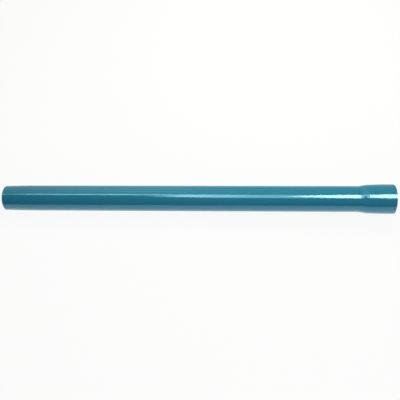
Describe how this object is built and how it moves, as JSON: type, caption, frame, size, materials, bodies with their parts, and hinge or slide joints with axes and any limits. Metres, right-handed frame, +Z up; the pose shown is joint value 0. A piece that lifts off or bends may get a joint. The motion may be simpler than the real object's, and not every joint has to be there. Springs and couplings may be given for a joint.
{
  "type": "suction tube",
  "caption": "Straight extension tube for a suction machine, moulded in one piece, with a tapered spigot at one end and a belled socket at the other.",
  "frame": {"origin": "centre of the socket's mouth, on the tube's axis", "axes": "+X along the tube's axis, out of the socket's mouth; +Z up, with the tube lying on its side"},
  "size_m": [0.485, 0.0362, 0.0362],
  "materials": {
    "moulded_plastic": "glossy petrol blue, as moulded"
  },
  "bodies": {
    "root": {"tube": "moulded_plastic"}
  },
  "joints": []
}
